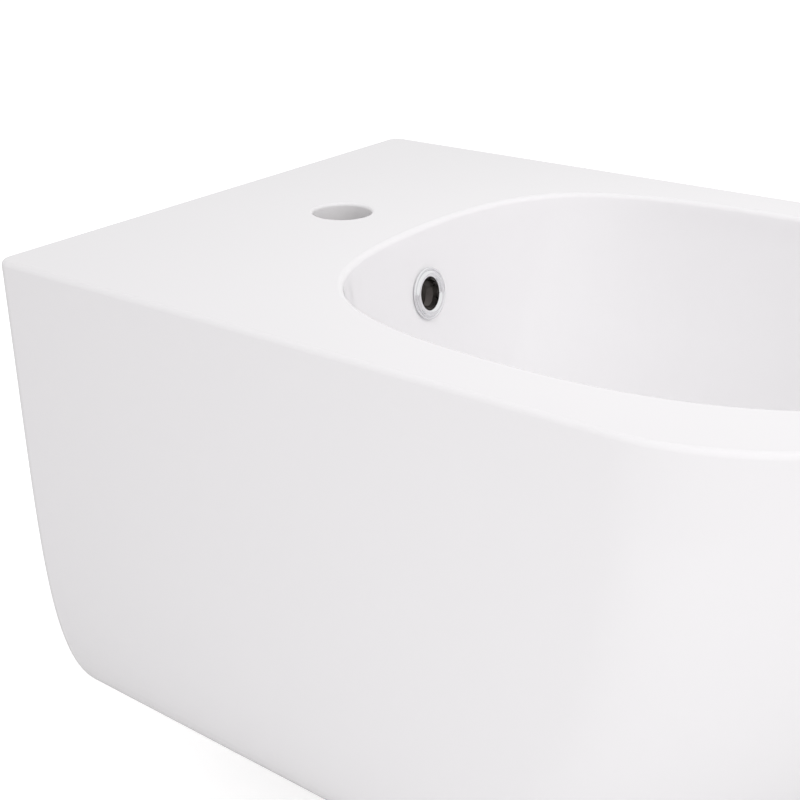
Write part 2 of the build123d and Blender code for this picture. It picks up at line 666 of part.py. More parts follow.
def fixing_washers():
    """Two steel washers on the collars."""
    face = -FIXING_BOSS_LENGTH - SLEEVE_FLANGE
    return pair(tube(14, STUD_RADIUS + 0.5, face - WASHER_THICKNESS, face))


def fixing_nuts():
    """Two M12 nuts."""
    face = -FIXING_BOSS_LENGTH - SLEEVE_FLANGE - WASHER_THICKNESS
    nut = hexagon(NUT_ACROSS_FLATS, face - NUT_HEIGHT, face) - Cylinder(NUT_END_RADIUS + FIT, 200)
    nuts = [Pos(side * STUD_SPACING / 2, 0, 0) * Rot(-90, 0, 0) * nut for side in (-1, 1)]
    return Compound(children=nuts)


NODES = {
    **ceramic_regions(),
    "overflow_ring": overflow_ring(),
    "waste_body": waste_body(),
    "waste_top_gasket": waste_top_gasket(),
    "waste_lower_gasket": at_drain(
        tube(31, WASTE_RADIUS + 0.2, DRAIN_BOSS_DEPTH, LOWER_GASKET_END)
    ),
    "waste_slip_washer": at_drain(
        tube(30, WASTE_RADIUS + 0.2, LOWER_GASKET_END, SLIP_WASHER_END)
    ),
    "waste_back_nut": waste_back_nut(),
    "plug_cap": plug_cap(),
    "plug_seal": plug_seal(),
    "plug_stem": plug_stem(),
    "plug_cartridge": plug_cartridge(),
    "plug_spring": plug_spring(),
    "trap_inlet_nut": trap_inlet_nut(),
    "trap_inlet_washer": at_drain(tube(20.6, 15.0, WASTE_END_DEPTH, INLET_WASHER_END)),
    "trap_elbow": trap_elbow(),
    "trap_side_nut": slip_nut(INLET_SOCKET_END, -1, INLET_DEPTH),
    "trap_side_washer": slip_washer(INLET_SOCKET_END, -1, INLET_DEPTH),
    "trap_body": trap_body(),
    "trap_cup": trap_cup(),
    "trap_cup_seal": trap_cup_seal(),
    "trap_outlet_nut": slip_nut(OUTLET_SOCKET_END, 1, OUTLET_DEPTH),
    "trap_outlet_washer": slip_washer(OUTLET_SOCKET_END, 1, OUTLET_DEPTH),
    "waste_pipe": waste_pipe(),
    "fixing_studs": fixing_studs(),
    "fixing_sleeves": fixing_sleeves(),
    "fixing_washers": fixing_washers(),
    "fixing_nuts": fixing_nuts(),
}

os.makedirs("parts", exist_ok=True)
for name, shape in NODES.items():
    export_step(shape, f"parts/{name}.step")
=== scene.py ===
import bpy
import bmesh
import math
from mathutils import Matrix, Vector


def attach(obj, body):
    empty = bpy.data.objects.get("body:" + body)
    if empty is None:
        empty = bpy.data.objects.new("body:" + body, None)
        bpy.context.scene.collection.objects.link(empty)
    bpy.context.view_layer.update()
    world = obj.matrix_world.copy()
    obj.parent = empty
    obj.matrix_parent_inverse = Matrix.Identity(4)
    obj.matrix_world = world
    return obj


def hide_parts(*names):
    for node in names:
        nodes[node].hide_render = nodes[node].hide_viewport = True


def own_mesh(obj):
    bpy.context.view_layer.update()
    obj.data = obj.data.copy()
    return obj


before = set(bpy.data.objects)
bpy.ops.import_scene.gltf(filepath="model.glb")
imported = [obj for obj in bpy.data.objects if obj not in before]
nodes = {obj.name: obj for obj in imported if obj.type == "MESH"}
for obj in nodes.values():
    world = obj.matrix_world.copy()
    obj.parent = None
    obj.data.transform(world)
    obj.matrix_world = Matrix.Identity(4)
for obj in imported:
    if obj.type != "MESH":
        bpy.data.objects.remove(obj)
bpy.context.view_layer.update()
bpy.ops.object.select_all(action="DESELECT")

# Camera
# It stands a step to the left of the bidet's front, a little above the rim, and looks down across the
# deck and into the bowl.
bpy.ops.object.camera_add(location=(-0.5691, -0.5427, 0.2996))
camera = bpy.context.object
camera.rotation_mode = "QUATERNION"
camera.rotation_quaternion = Vector((0.7405, 0.5314, -0.4121)).to_track_quat("-Z", "Y")
camera.data.sensor_width = 36.0
camera.data.lens = 56.42
bpy.context.scene.camera = camera

# Studio
# A pale sheet of floor lies 400 mm below the rim, where the bathroom floor would be. Large soft
# lamps hang high at the left and in front; a weak one stands beside the body and another hangs low
# over the bowl. The room beyond is white.
bpy.context.scene.view_settings.view_transform = "Standard"
FLOOR_HEIGHT = -0.305
bpy.ops.mesh.primitive_plane_add(size=12, location=(0, 0, FLOOR_HEIGHT))
floor = bpy.context.object
floor.name = "floor"
floor_paint = bpy.data.materials.new("floor_paint")
floor_paint.use_nodes = True
shader = floor_paint.node_tree.nodes["Principled BSDF"]
shader.inputs["Base Color"].default_value = (0.86, 0.86, 0.86, 1)
shader.inputs["Roughness"].default_value = 0.9
shader.inputs["Emission Color"].default_value = (1, 1, 1, 1)
seen = floor_paint.node_tree.nodes.new("ShaderNodeLightPath")
lift = floor_paint.node_tree.nodes.new("ShaderNodeMath")
lift.operation = "MULTIPLY"
lift.inputs[1].default_value = 0.5
floor_paint.node_tree.links.new(seen.outputs["Is Camera Ray"], lift.inputs[0])
floor_paint.node_tree.links.new(lift.outputs[0], shader.inputs["Emission Strength"])
floor.data.materials.append(floor_paint)

world = bpy.data.worlds.new("white_room")
bpy.context.scene.world = world
world.use_nodes = True
room = world.node_tree.nodes["Background"]
room.inputs["Color"].default_value = (1.0, 0.985, 0.995, 1)
room.inputs["Strength"].default_value = 0.64
white = world.node_tree.nodes.new("ShaderNodeBackground")
white.inputs["Color"].default_value = (1, 1, 1, 1)
white.inputs["Strength"].default_value = 1.0
seen = world.node_tree.nodes.new("ShaderNodeLightPath")
choice = world.node_tree.nodes.new("ShaderNodeMixShader")
shown = seen.outputs["Is Camera Ray"]
for kind in ("Is Glossy Ray", "Is Transmission Ray"):
    either = world.node_tree.nodes.new("ShaderNodeMath")
    either.operation = "MAXIMUM"
    world.node_tree.links.new(shown, either.inputs[0])
    world.node_tree.links.new(seen.outputs[kind], either.inputs[1])
    shown = either.outputs[0]
world.node_tree.links.new(shown, choice.inputs[0])
world.node_tree.links.new(room.outputs[0], choice.inputs[1])
world.node_tree.links.new(white.outputs[0], choice.inputs[2])
world.node_tree.links.new(choice.outputs[0], world.node_tree.nodes["World Output"].inputs[0])


def soft_lamp(name, place, aim, width, height, watts):
    """A soft box at a place, turned towards a point. The glaze mirrors the white room, not the box."""
    bpy.ops.object.light_add(type="AREA", location=place)
    lamp = bpy.context.object
    lamp.name = name
    lamp.data.shape = "RECTANGLE"
    lamp.data.size = width
    lamp.data.size_y = height
    lamp.data.energy = watts
    lamp.visible_glossy = False
    lamp.rotation_mode = "QUATERNION"
    lamp.rotation_quaternion = (Vector(aim) - Vector(place)).to_track_quat("-Z", "Y")


soft_lamp("left_lamp", (-1.6, -0.6, 1.2), (0, -0.3, 0), 1.4, 1.4, 6.1)
soft_lamp("front_lamp", (0.0, -1.5, 1.2), (0, -0.3, 0), 1.4, 1.4, 8.9)
soft_lamp("side_lamp", (-0.75, -0.55, 0.0), (-0.18, -0.35, -0.05), 0.5, 0.5, 0.7)
soft_lamp("bowl_lamp", (0.0, -0.33, 0.42), (0, -0.33, 0), 0.3, 0.3, 0.24)

# Ceramic body
# One casting of vitreous china with a flat deck, a deep egg-shaped bowl and a skirt that tucks in
# towards the wall. It is cast in a plaster mould, dipped in white glaze and fired; the back face
# and the hollow underneath stay bare.
WIDTH = 360.0
LENGTH = 510.0
HEIGHT = 300.0
RIM = 95.0
EDGE_RADIUS = 3.0
CORNER_RADIUS = 9.0
STRAIGHT_SIDE = 360.0
WALL = 11.0
DECK = 14.0
REAR_WALL = 14.0
SKIRT_DEPTHS = [40.0, 215.0, HEIGHT, HEIGHT]
SIDE_TUCK = [0.0, 0.0, -5.0, 70.0]
FRONT_TUCK = [0.0, 0.0, 110.0, 260.0]
BOWL_DEPTHS = [0.0, 72.0, 130.0, 138.0]
SIDE_FALL = [0.0, 8.0, 48.0, 108.0]
REAR_FALL = [0.0, 7.0, 27.0, 60.0]
FRONT_FALL = [0.0, 10.0, 92.0, 193.0]
LIP_HALF = 144.0
LIP_REAR = 149.0
LIP_WIDEST = 305.0
LIP_FRONT = 474.0
LIP_RADIUS = 3.5
LIP_PULLS = (0.59, 0.61, 0.74, 0.79)
ROUND_PULL = 0.5523
DRAIN = -245.0
DRAIN_BOSS_END = 186.0
OVERFLOW_DEPTH = 38.9
TAP_HOLE = -92.0
TAP_HOLE_RADIUS = 17.5
TAP_HOLE_EDGE = 2.0
STUD_X = 90.0
# Numbers of the ceramic's skins. The glaze is its first one, number 0; number 2 is the water way's bare
# clay, painted darker as painted shade.
BARE, WAY_SHADE = 1, 2


def cubic(values, t):
    """Value of a cubic curve with four control values."""
    u = 1 - t
    a, b, c, d = values
    return u ** 3 * a + 3 * u * u * t * b + 3 * u * t * t * c + t ** 3 * d


def point_on(strip, t):
    """Point of a straight or curved strip of an outline."""
    if len(strip) == 2:
        return [strip[0][i] + t * (strip[1][i] - strip[0][i]) for i in (0, 1)]
    return [cubic([point[i] for point in strip], t) for i in (0, 1)]


def whole(strips, steps):
    """Closed ring of points from the right-hand strips, listed from the rear to the front."""
    half = [point_on(strip, i / n) for strip, n in zip(strips, steps) for i in range(n)]
    half.append(list(strips[-1][-1]))
    return half + [[-x, y] for x, y in reversed(half[1:-1])]


def body_plan(side_tuck, front_tuck, rear=0.0):
    """Plan of the body: straight rear and sides, and a front that swells towards its corners."""
    half = WIDTH / 2 - side_tuck
    front = LENGTH - front_tuck
    share = front_tuck / FRONT_TUCK[-1]
    straight = STRAIGHT_SIDE - 0.8 * front_tuck
    side_pull = (0.40 + 0.12 * share) * (front - straight)
    corner = CORNER_RADIUS
    reach = corner * (1 - ROUND_PULL)
    return [
        [(0, -rear), (half - corner, -rear)],
        [(half - corner, -rear), (half - reach, -rear), (half, -rear - reach), (half, -rear - corner)],
        [(half, -rear - corner), (half, -straight)],
        [(half, -straight), (half, -straight - side_pull), (0.55 * half, -front), (0, -front)],
    ]


def bowl_plan(side_fall, rear_fall, front_fall, grown=0.0):
    """Plan of the bowl: a broad egg at the lip that turns into a circle at the drain."""
    share = side_fall / SIDE_FALL[-1]
    half = LIP_HALF - side_fall + grown
    widest = LIP_WIDEST + share * (-DRAIN - LIP_WIDEST)
    rear = LIP_REAR + rear_fall - grown
    front = LIP_FRONT - front_fall + grown
    front_side, front_tip, rear_side, rear_tip = [
        pull + share * (ROUND_PULL - pull) for pull in LIP_PULLS
    ]
    side = (half, -widest)
    return [
        [(0, -rear), (rear_tip * half, -rear), (half, -widest + rear_side * (widest - rear)), side],
        [side, (half, -widest - front_side * (front - widest)), (front_tip * half, -front), (0, -front)],
    ]


def between(plans, t):
    """The plan part of the way down, from the four control plans."""
    strips = []
    for same in zip(*plans):
        strips.append([
            [cubic([strip[k][i] for strip in same], t) for i in (0, 1)] for k in range(len(same[0]))
        ])
    return strips


def widened(ring, distance):
    """A ring moved outwards by a distance, at right angles to itself."""
    count = len(ring)
    moved = []
    for i, (x, y) in enumerate(ring):
        along = Vector(ring[(i + 1) % count]) - Vector(ring[i - 1])
        along.normalize()
        moved.append([x - along.y * distance, y + along.x * distance])
    return moved


def skinned(name, levels):
    """A closed skin drawn ring by ring from (depth, ring) levels, with a flat lid at both ends."""
    bpy.ops.mesh.primitive_circle_add(vertices=len(levels[0][1]), radius=0.1, fill_type="NOTHING")
    piece = bpy.context.object
    piece.name = name
    bpy.ops.object.mode_set(mode="EDIT")
    order = range(len(piece.data.vertices))
    for number, (depth, ring) in enumerate(levels):
        if number:
            bpy.ops.mesh.extrude_edges_move()
        mesh = bmesh.from_edit_mesh(piece.data)
        mesh.verts.ensure_lookup_table()
        if number:
            order = [
                [edge.other_vert(mesh.verts[i]).index for edge in mesh.verts[i].link_edges
                 if edge.other_vert(mesh.verts[i]).select][0]
                for i in order
            ]
        for i, (x, y) in zip(order, ring):
            mesh.verts[i].co = Vector((x, y, RIM - depth)) / 1000
        bmesh.update_edit_mesh(piece.data)
    bpy.ops.mesh.select_all(action="SELECT")
    bpy.ops.mesh.fill_holes(sides=0)
    bpy.ops.mesh.normals_make_consistent(inside=False)
    bpy.ops.object.mode_set(mode="OBJECT")
    return piece


def turned(name, profile, steps=96):
    """A piece turned about Z from (radius, height) points in mm, drawn point by point and spun."""
    bpy.ops.mesh.primitive_plane_add(size=0.001)
    piece = bpy.context.object
    piece.name = name
    bpy.ops.object.mode_set(mode="EDIT")
    bpy.ops.mesh.merge(type="CENTER")
    here = Vector((0, 0, 0))
    for number, (radius, height) in enumerate(profile + profile[:1]):
        there = Vector((radius, 0, height)) / 1000
        if number:
            bpy.ops.mesh.extrude_vertices_move(TRANSFORM_OT_translate={"value": there - here})
        else:
            bpy.ops.transform.translate(value=there)
        here = there
    bpy.ops.mesh.select_all(action="SELECT")
    bpy.ops.mesh.spin(steps=steps, angle=math.tau, center=(0, 0, 0), axis=(0, 0, 1))
    bpy.ops.mesh.select_all(action="SELECT")
    bpy.ops.mesh.remove_doubles(threshold=0.000002)
    bpy.ops.mesh.normals_make_consistent(inside=False)
    bpy.ops.object.mode_set(mode="OBJECT")
    return piece


def slab(name, corners, thickness, soft=0.0):
    """A plate drawn flat from (x, y) corners in mm, with its corners rounded, and raised along Z."""
    bpy.ops.mesh.primitive_circle_add(vertices=len(corners), radius=0.1, fill_type="NOTHING")
    piece = bpy.context.object
    piece.name = name
    bpy.ops.object.mode_set(mode="EDIT")
    mesh = bmesh.from_edit_mesh(piece.data)
    for vertex, (x, y) in zip(mesh.verts, corners):
        vertex.co = Vector((x, y, 0)) / 1000
    bmesh.update_edit_mesh(piece.data)
    bpy.ops.mesh.edge_face_add()
    if soft:
        bpy.ops.mesh.bevel(offset=soft / 1000, offset_type="OFFSET", segments=6, affect="VERTICES")
    bpy.ops.mesh.select_all(action="SELECT")
    bpy.ops.mesh.extrude_region_move(TRANSFORM_OT_translate={"value": (0, 0, thickness / 1000)})
    bpy.ops.mesh.select_all(action="SELECT")
    bpy.ops.mesh.normals_make_consistent(inside=False)
    bpy.ops.object.mode_set(mode="OBJECT")
    return piece


def block(name, left, right, near, far, thickness, soft=0.0):
    """A slab with a rectangular plan between two x and two y values."""
    return slab(name, [(left, near), (right, near), (right, far), (left, far)], thickness, soft)


def chosen(piece):
    """Makes a piece the only selected one."""
    bpy.ops.object.select_all(action="DESELECT")
    bpy.context.view_layer.objects.active = piece
    piece.select_set(True)
    return piece


def settled(piece, place, turn=(0, 0, 0)):
    """Puts a finished piece at its place in mm, turned by angles in degrees, and fixes it there."""
    chosen(piece)
    piece.rotation_euler = [math.radians(angle) for angle in turn]
    piece.location = Vector(place) / 1000
    bpy.ops.object.transform_apply(location=True, rotation=True, scale=True)
    return piece


def cut(piece, tool, operation="DIFFERENCE", skin=0):
    """Takes the tool's shape out of the piece, or adds it. New faces wear the skin of that number."""
    for face in tool.data.polygons:
        face.material_index = skin
    chosen(piece)
    change = piece.modifiers.new("cut", "BOOLEAN")
    change.operation = operation
    change.solver = "MANIFOLD"
    change.object = tool
    bpy.ops.object.modifier_apply(modifier="cut")
    bpy.data.objects.remove(tool)
    while piece.data.materials and not piece.data.materials[-1]:
        piece.data.materials.pop()


def drilled(piece, radius, length, place, turn=(0, 0, 0), skin=0):
    """Drills a round hole of a length, centred at a place."""
    hole = [(0, -length / 2), (radius, -length / 2), (radius, length / 2), (0, length / 2)]
    cut(piece, settled(turned("drill", hole), place, turn), skin=skin)


def side_plate(name, corners, half, soft):
    """A plate of twice a half thickness across the middle, from (y, depth) corners of its side view."""
    flat = [(y, RIM - depth) for y, depth in corners]
    return settled(slab(name, flat, 2 * half, soft), (-half, 0, 0), (90, 0, 90))


def bowl_levels(depths, falls, first, steps, ring_steps):
    """Rings of the bowl between its lip and its floor, from (side, rear, front, grown) rows."""
    plans = [bowl_plan(*fall) for fall in falls]
    return [
        (cubic(depths, first + (1 - first) * step / steps),
         whole(between(plans, first + (1 - first) * step / steps), ring_steps))
        for step in range(steps + 1)
    ]


def bowl_rear(depth):
    """Distance from the wall to the bowl's rear face on the centre line, at a depth."""
    low, high = 0.0, 1.0
    while high - low > 1e-6:
        middle = (low + high) / 2
        low, high = (middle, high) if cubic(BOWL_DEPTHS, middle) < depth else (low, middle)
    return LIP_REAR + cubic(REAR_FALL, low)


# The outside
BODY_STEPS = (6, 8, 24, 72)
side_plan = whole(body_plan(0, 0), BODY_STEPS)
levels = []
for step in range(9):
    lean = math.radians(90 - 90 * step / 8)
    inset = EDGE_RADIUS * (1 - math.cos(lean))
    levels.append((EDGE_RADIUS * (1 - math.sin(lean)), widened(side_plan, -inset)))
levels += [(depth, side_plan) for depth in (12, 20, 30)]
plans = [body_plan(side, front) for side, front in zip(SIDE_TUCK, FRONT_TUCK)]
for step in range(45):
    levels.append((cubic(SKIRT_DEPTHS, step / 44), whole(between(plans, step / 44), BODY_STEPS)))
body = skinned("ceramic", levels)


def drift_group():
    """Shared effect: two tones and two polishes that drift into each other, and a fine grain."""
    group = bpy.data.node_groups.new("drift", "ShaderNodeTree")
    for name, kind in (
        ("Pale", "Color"), ("Deep", "Color"), ("Patches", "Float"), ("Grains", "Float"),
        ("Polish", "Float"), ("Dullness", "Float"),
    ):
        group.interface.new_socket(name, in_out="INPUT", socket_type="NodeSocket" + kind)
    for name, kind in (("Colour", "Color"), ("Roughness", "Float"), ("Height", "Float")):
        group.interface.new_socket(name, in_out="OUTPUT", socket_type="NodeSocket" + kind)
    given = group.nodes.new("NodeGroupInput")
    result = group.nodes.new("NodeGroupOutput")
    place = group.nodes.new("ShaderNodeTexCoord")
    patches = group.nodes.new("ShaderNodeTexNoise")
    patches.inputs["Detail"].default_value = 3.0
    grains = group.nodes.new("ShaderNodeTexNoise")
    grains.inputs["Detail"].default_value = 2.0
    tone = group.nodes.new("ShaderNodeMix")
    tone.data_type = "RGBA"
    polish = group.nodes.new("ShaderNodeMapRange")
    polish.inputs["From Min"].default_value = 0.3
    polish.inputs["From Max"].default_value = 0.7
    group.links.new(place.outputs["Object"], patches.inputs["Vector"])
    group.links.new(place.outputs["Object"], grains.inputs["Vector"])
    group.links.new(given.outputs["Patches"], patches.inputs["Scale"])
    group.links.new(given.outputs["Grains"], grains.inputs["Scale"])
    group.links.new(patches.outputs["Fac"], tone.inputs["Factor"])
    group.links.new(given.outputs["Pale"], tone.inputs["A"])
    group.links.new(given.outputs["Deep"], tone.inputs["B"])
    group.links.new(patches.outputs["Fac"], polish.inputs["Value"])
    group.links.new(given.outputs["Polish"], polish.inputs["To Min"])
    group.links.new(given.outputs["Dullness"], polish.inputs["To Max"])
    group.links.new(tone.outputs["Result"], result.inputs["Colour"])
    group.links.new(polish.outputs["Result"], result.inputs["Roughness"])
    group.links.new(grains.outputs["Fac"], result.inputs["Height"])
    return group


DRIFT = drift_group()


def finish(name, pale, deep, patches, grains, polish, dullness, relief, metal=0.0):
    """A material that drifts between two tones and two degrees of polish; relief is in mm."""
    paint = bpy.data.materials.new(name)
    paint.use_nodes = True
    tree = paint.node_tree
    shader = tree.nodes["Principled BSDF"]
    shader.inputs["Metallic"].default_value = metal
    drift = tree.nodes.new("ShaderNodeGroup")
    drift.name = "drift"
    drift.node_tree = DRIFT
    drift.inputs["Pale"].default_value = (*pale, 1)
    drift.inputs["Deep"].default_value = (*deep, 1)
    drift.inputs["Patches"].default_value = patches
    drift.inputs["Grains"].default_value = grains
    drift.inputs["Polish"].default_value = polish
    drift.inputs["Dullness"].default_value = dullness
    grain = tree.nodes.new("ShaderNodeBump")
    grain.name = "grain"
    grain.inputs["Distance"].default_value = relief / 1000
    tree.links.new(drift.outputs["Colour"], shader.inputs["Base Color"])
    tree.links.new(drift.outputs["Roughness"], shader.inputs["Roughness"])
    tree.links.new(drift.outputs["Height"], grain.inputs["Height"])
    tree.links.new(grain.outputs["Normal"], shader.inputs["Normal"])
    return paint


# Its three skins: the glaze, bare fired clay, and the bare clay inside the water way, painted much
# darker as painted shade
glaze = finish("white_glaze", (0.86, 0.85, 0.86), (0.84, 0.832, 0.842), 5, 30, 0.04, 0.08, 0.05)
clay = finish("bare_clay", (0.80, 0.76, 0.70), (0.70, 0.655, 0.59), 14, 900, 0.65, 0.9, 0.06)
shaded_way_clay = finish("shaded_way_clay", (0.44, 0.41, 0.39), (0.34, 0.31, 0.295), 40, 900, 0.5, 0.8, 0.06)
for skin in (glaze, clay, shaded_way_clay):
    body.data.materials.append(skin)

# The hollow under the deck, round the bowl
hollow_tuck = [(WALL, WALL), (WALL, WALL), (0.6 * WALL, 0.6 * WALL), (0.0, 0.0)]
plans = [
    body_plan(side + more, front + ahead, REAR_WALL)
    for side, front, (more, ahead) in zip(SIDE_TUCK, FRONT_TUCK, hollow_tuck)
]
depths = [SKIRT_DEPTHS[0], SKIRT_DEPTHS[1], HEIGHT - WALL, HEIGHT - WALL]
HOLLOW_STEPS = (6, 4, 12, 32)
levels = [(DECK, whole(plans[0], HOLLOW_STEPS))]
for step in range(21):
    levels.append((cubic(depths, step / 20), whole(between(plans, step / 20), HOLLOW_STEPS)))
hollow = skinned("hollow", levels)
falls = list(zip(SIDE_FALL, REAR_FALL, FRONT_FALL))
grown = [WALL, WALL, 0.9 * WALL, 0.4 * WALL]
outer_falls = [fall + (more,) for fall, more in zip(falls, grown)]
outer_depths = [0.0, BOWL_DEPTHS[1], BOWL_DEPTHS[2] + WALL, BOWL_DEPTHS[3] + WALL]


def bowl_outside():
    """The bowl's outer surface, a wall's thickness outside the inner one."""
    return skinned("bowl_outside", bowl_levels(outer_depths, outer_falls, 0.0, 20, (24, 32)))


cut(hollow, bowl_outside())
cut(hollow, side_plate("casing", [
    (-165, DECK), (-122, DECK), (-122, 64), (-139, 108), (-164, 147), (-192, DRAIN_BOSS_END),
    (-235, DRAIN_BOSS_END), (-235, 148), (-200, 140),
], 22, 5))
boss_end = RIM - DRAIN_BOSS_END
boss = [(0, RIM - 134), (40, RIM - 134), (40, boss_end + 2), (38, boss_end), (0, boss_end)]
cut(hollow, settled(turned("drain_boss", boss), (0, DRAIN, 0)))
for side in (-STUD_X, STUD_X):
    boss = turned("fixing_boss", [(0, 0), (24, 0), (24, 26), (22, 28), (0, 28)])
    cut(hollow, settled(boss, (side, 0, 0), (90, 0, 0)))
cut(body, hollow, skin=BARE)

# The bowl, with its lip rounded into the deck
BOWL_STEPS = (48, 64)
lip = whole(bowl_plan(*falls[0]), BOWL_STEPS)
slope = math.atan2(SIDE_FALL[1], BOWL_DEPTHS[1])
reach = LIP_RADIUS * math.tan(math.pi / 4 - slope / 2)
levels = [(-1.0, widened(lip, reach))]
for step in range(9):
    lean = math.pi / 2 + (math.pi / 2 - slope) * step / 8
    levels.append((
        LIP_RADIUS * (1 - math.sin(lean)), widened(lip, reach + LIP_RADIUS * math.cos(lean))
    ))
levels += bowl_levels(BOWL_DEPTHS, falls, 0.03, 48, BOWL_STEPS)
cut(body, skinned("bowl", levels))

# The water way from the overflow down behind the bowl, and the overflow's hole into it, both lined with
# bare clay painted darker as painted shade
way = side_plate("water_way", [
    (-165, 22), (-130, 22), (-130, 62), (-147, 104), (-172, 142), (-198, 174), (-235, 174),
    (-235, 160), (-200, 156),
], 14, 4)
cut(way, bowl_outside())
cut(body, way, skin=WAY_SHADE)
overflow_lean = math.atan2(bowl_rear(OVERFLOW_DEPTH + 2) - bowl_rear(OVERFLOW_DEPTH - 2), 4)
overflow_turn = (90 - math.degrees(overflow_lean), 0, 0)
overflow_place = Vector((0, -bowl_rear(OVERFLOW_DEPTH), RIM - OVERFLOW_DEPTH))
into_bowl = Vector((0, -math.cos(overflow_lean), math.sin(overflow_lean)))
drilled(body, 12.5, 18, overflow_place - 5 * into_bowl, overflow_turn, skin=WAY_SHADE)

# The drain's seat and the tap hole, whose top edge the glaze rounds off
cut(body, settled(turned("seat", [
    (0, RIM - 132), (33.6, RIM - 132), (33.6, RIM - 141.1), (23, RIM - 149.6), (23, boss_end - 1),
    (0, boss_end - 1),
]), (0, DRAIN, 0)))
mouth = TAP_HOLE_RADIUS + TAP_HOLE_EDGE
hole = [(0, RIM - DECK - 1), (TAP_HOLE_RADIUS, RIM - DECK - 1)]
for step in range(7):
    lean = math.radians(90 * step / 6)
    hole.append((
        mouth - TAP_HOLE_EDGE * math.cos(lean), RIM - TAP_HOLE_EDGE + TAP_HOLE_EDGE * math.sin(lean)
    ))
hole += [(mouth, RIM + 1), (0, RIM + 1)]
cut(body, settled(turned("tap_hole", hole, 128), (0, TAP_HOLE, 0)))

# The fixing holes, the notch for the wall's pipes, and the opening for the hands underneath
for side in (-STUD_X, STUD_X):
    drilled(body, 10, 41, (side, -19.5, 0), (90, 0, 0), skin=BARE)
notch = block("notch", -58, 58, RIM - 340, RIM - 70, 27, 24)
cut(body, settled(notch, (0, 6, 0), (90, 0, 0)), skin=BARE)
hatch = block("hatch", -92, 92, -228, -REAR_WALL, 40, 30)
cut(body, settled(hatch, (0, 0, RIM - HEIGHT - 10)), skin=BARE)
for face in body.data.polygons:
    if all(body.data.vertices[corner].co.y > -0.0001 for corner in face.vertices):
        face.material_index = BARE


def dressed(piece, rides_on, stands_for, slot, *paints, angle=35):
    """Smooths a finished piece, paints it, and lets it ride in the place of its CAD nodes."""
    chosen(piece)
    bpy.ops.object.shade_smooth_by_angle(angle=math.radians(angle))
    even = piece.modifiers.new("even", "WEIGHTED_NORMAL")
    even.keep_sharp = True
    bpy.ops.object.modifier_apply(modifier="even")
    for paint in paints:
        piece.data.materials.append(paint)
    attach(piece, rides_on)
    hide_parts(*stands_for)


regions = ["deck", "rim", "bowl", "drain", "back", "skirt"]
dressed(body, "bidet", ["ceramic_" + region for region in regions], "white_glaze")

# Overflow ring
# A trim ring pressed from thin brass and chromed: a rolled outer bead, a groove, a full round face and
# a short sleeve. Three spring legs, cut from the sleeve, grip the edge of the hole in the ceramic.
chrome = finish(
    "bright_chrome", (0.82, 0.82, 0.83), (0.78, 0.785, 0.80), 60, 600, 0.03, 0.08, 0.004, metal=1.0
)


def arc(centre, radius, start, end, steps):
    """Points of an arc in a profile, with angles in degrees."""
    angles = [math.radians(start + (end - start) * step / steps) for step in range(steps + 1)]
    return [(centre[0] + radius * math.cos(a), centre[1] + radius * math.sin(a)) for a in angles]


stand_off = 0.35
throat, sleeve = 9.3, 10.3
profile = [(sleeve, stand_off), (14.5, stand_off)]
profile += arc((14.5, stand_off + 0.8), 0.8, -80, 115, 12)
profile += [(13.85, stand_off + 1.2)]
profile += arc((11.5, stand_off + 0.4), 2.2, 20, 172, 20)
profile += [(throat, -3.0), (sleeve, -3.0)]
ring = turned("overflow_ring", profile, 96)
for angle in (30, 150, 270):
    leg = turned("leg", [
        (throat, -2.5), (sleeve, -2.5), (sleeve, -6.0), (12.2, -10.6), (11.8, -13.0), (10.8, -13.0),
        (11.2, -10.8), (throat, -6.2),
    ], 96)
    strip = block("strip", 5, 15, -3.5, 3.5, 12.5, 0.6)
    cut(leg, settled(strip, (0, 0, -14)), "INTERSECT")
    cut(ring, settled(leg, (0, 0, 0), (0, 0, angle)), "UNION")
settled(ring, overflow_place, overflow_turn)
dressed(ring, "bidet", ["overflow_ring"], "bright_chrome", chrome)


# Waste body
# A hot-pressed brass body: a wide flange that shows in the bowl, a threaded tube with four overflow
# ports, and a three-armed bar for the plug's cartridge. It is chromed on top and bare brass below.
WASTE_RADIUS = 21.0
TAIL_RADIUS = 19.8
WASTE_BORE = 17.5
WASTE_END = 218.0
PORT_DEPTH = 167.0
brass = finish(
    "raw_brass", (0.74, 0.60, 0.33), (0.66, 0.52, 0.27), 45, 900, 0.22, 0.38, 0.006, metal=1.0
)
plated = finish(
    "plated_brass", (0.82, 0.82, 0.83), (0.78, 0.785, 0.80), 60, 700, 0.04, 0.1, 0.004, metal=1.0
)
tree = plated.node_tree
place = tree.nodes.new("ShaderNodeTexCoord")
height = tree.nodes.new("ShaderNodeSeparateXYZ")
edge = tree.nodes.new("ShaderNodeMapRange")
edge.inputs["From Min"].default_value = (RIM - 152) / 1000
edge.inputs["From Max"].default_value = (RIM - 149) / 1000
tone = tree.nodes.new("ShaderNodeMix")
tone.data_type = "RGBA"
tone.inputs["A"].default_value = (0.72, 0.58, 0.31, 1)
sheen = tree.nodes.new("ShaderNodeMix")
sheen.inputs["A"].default_value = 0.3
tree.links.new(place.outputs["Object"], height.inputs["Vector"])
tree.links.new(height.outputs["Z"], edge.inputs["Value"])
for mixed, given, wanted in ((tone, "Colour", "Base Color"), (sheen, "Roughness", "Roughness")):
    tree.links.new(edge.outputs["Result"], mixed.inputs["Factor"])
    tree.links.new(tree.nodes["drift"].outputs[given], mixed.inputs["B"])
    tree.links.new(mixed.outputs["Result"], tree.nodes["Principled BSDF"].inputs[wanted])


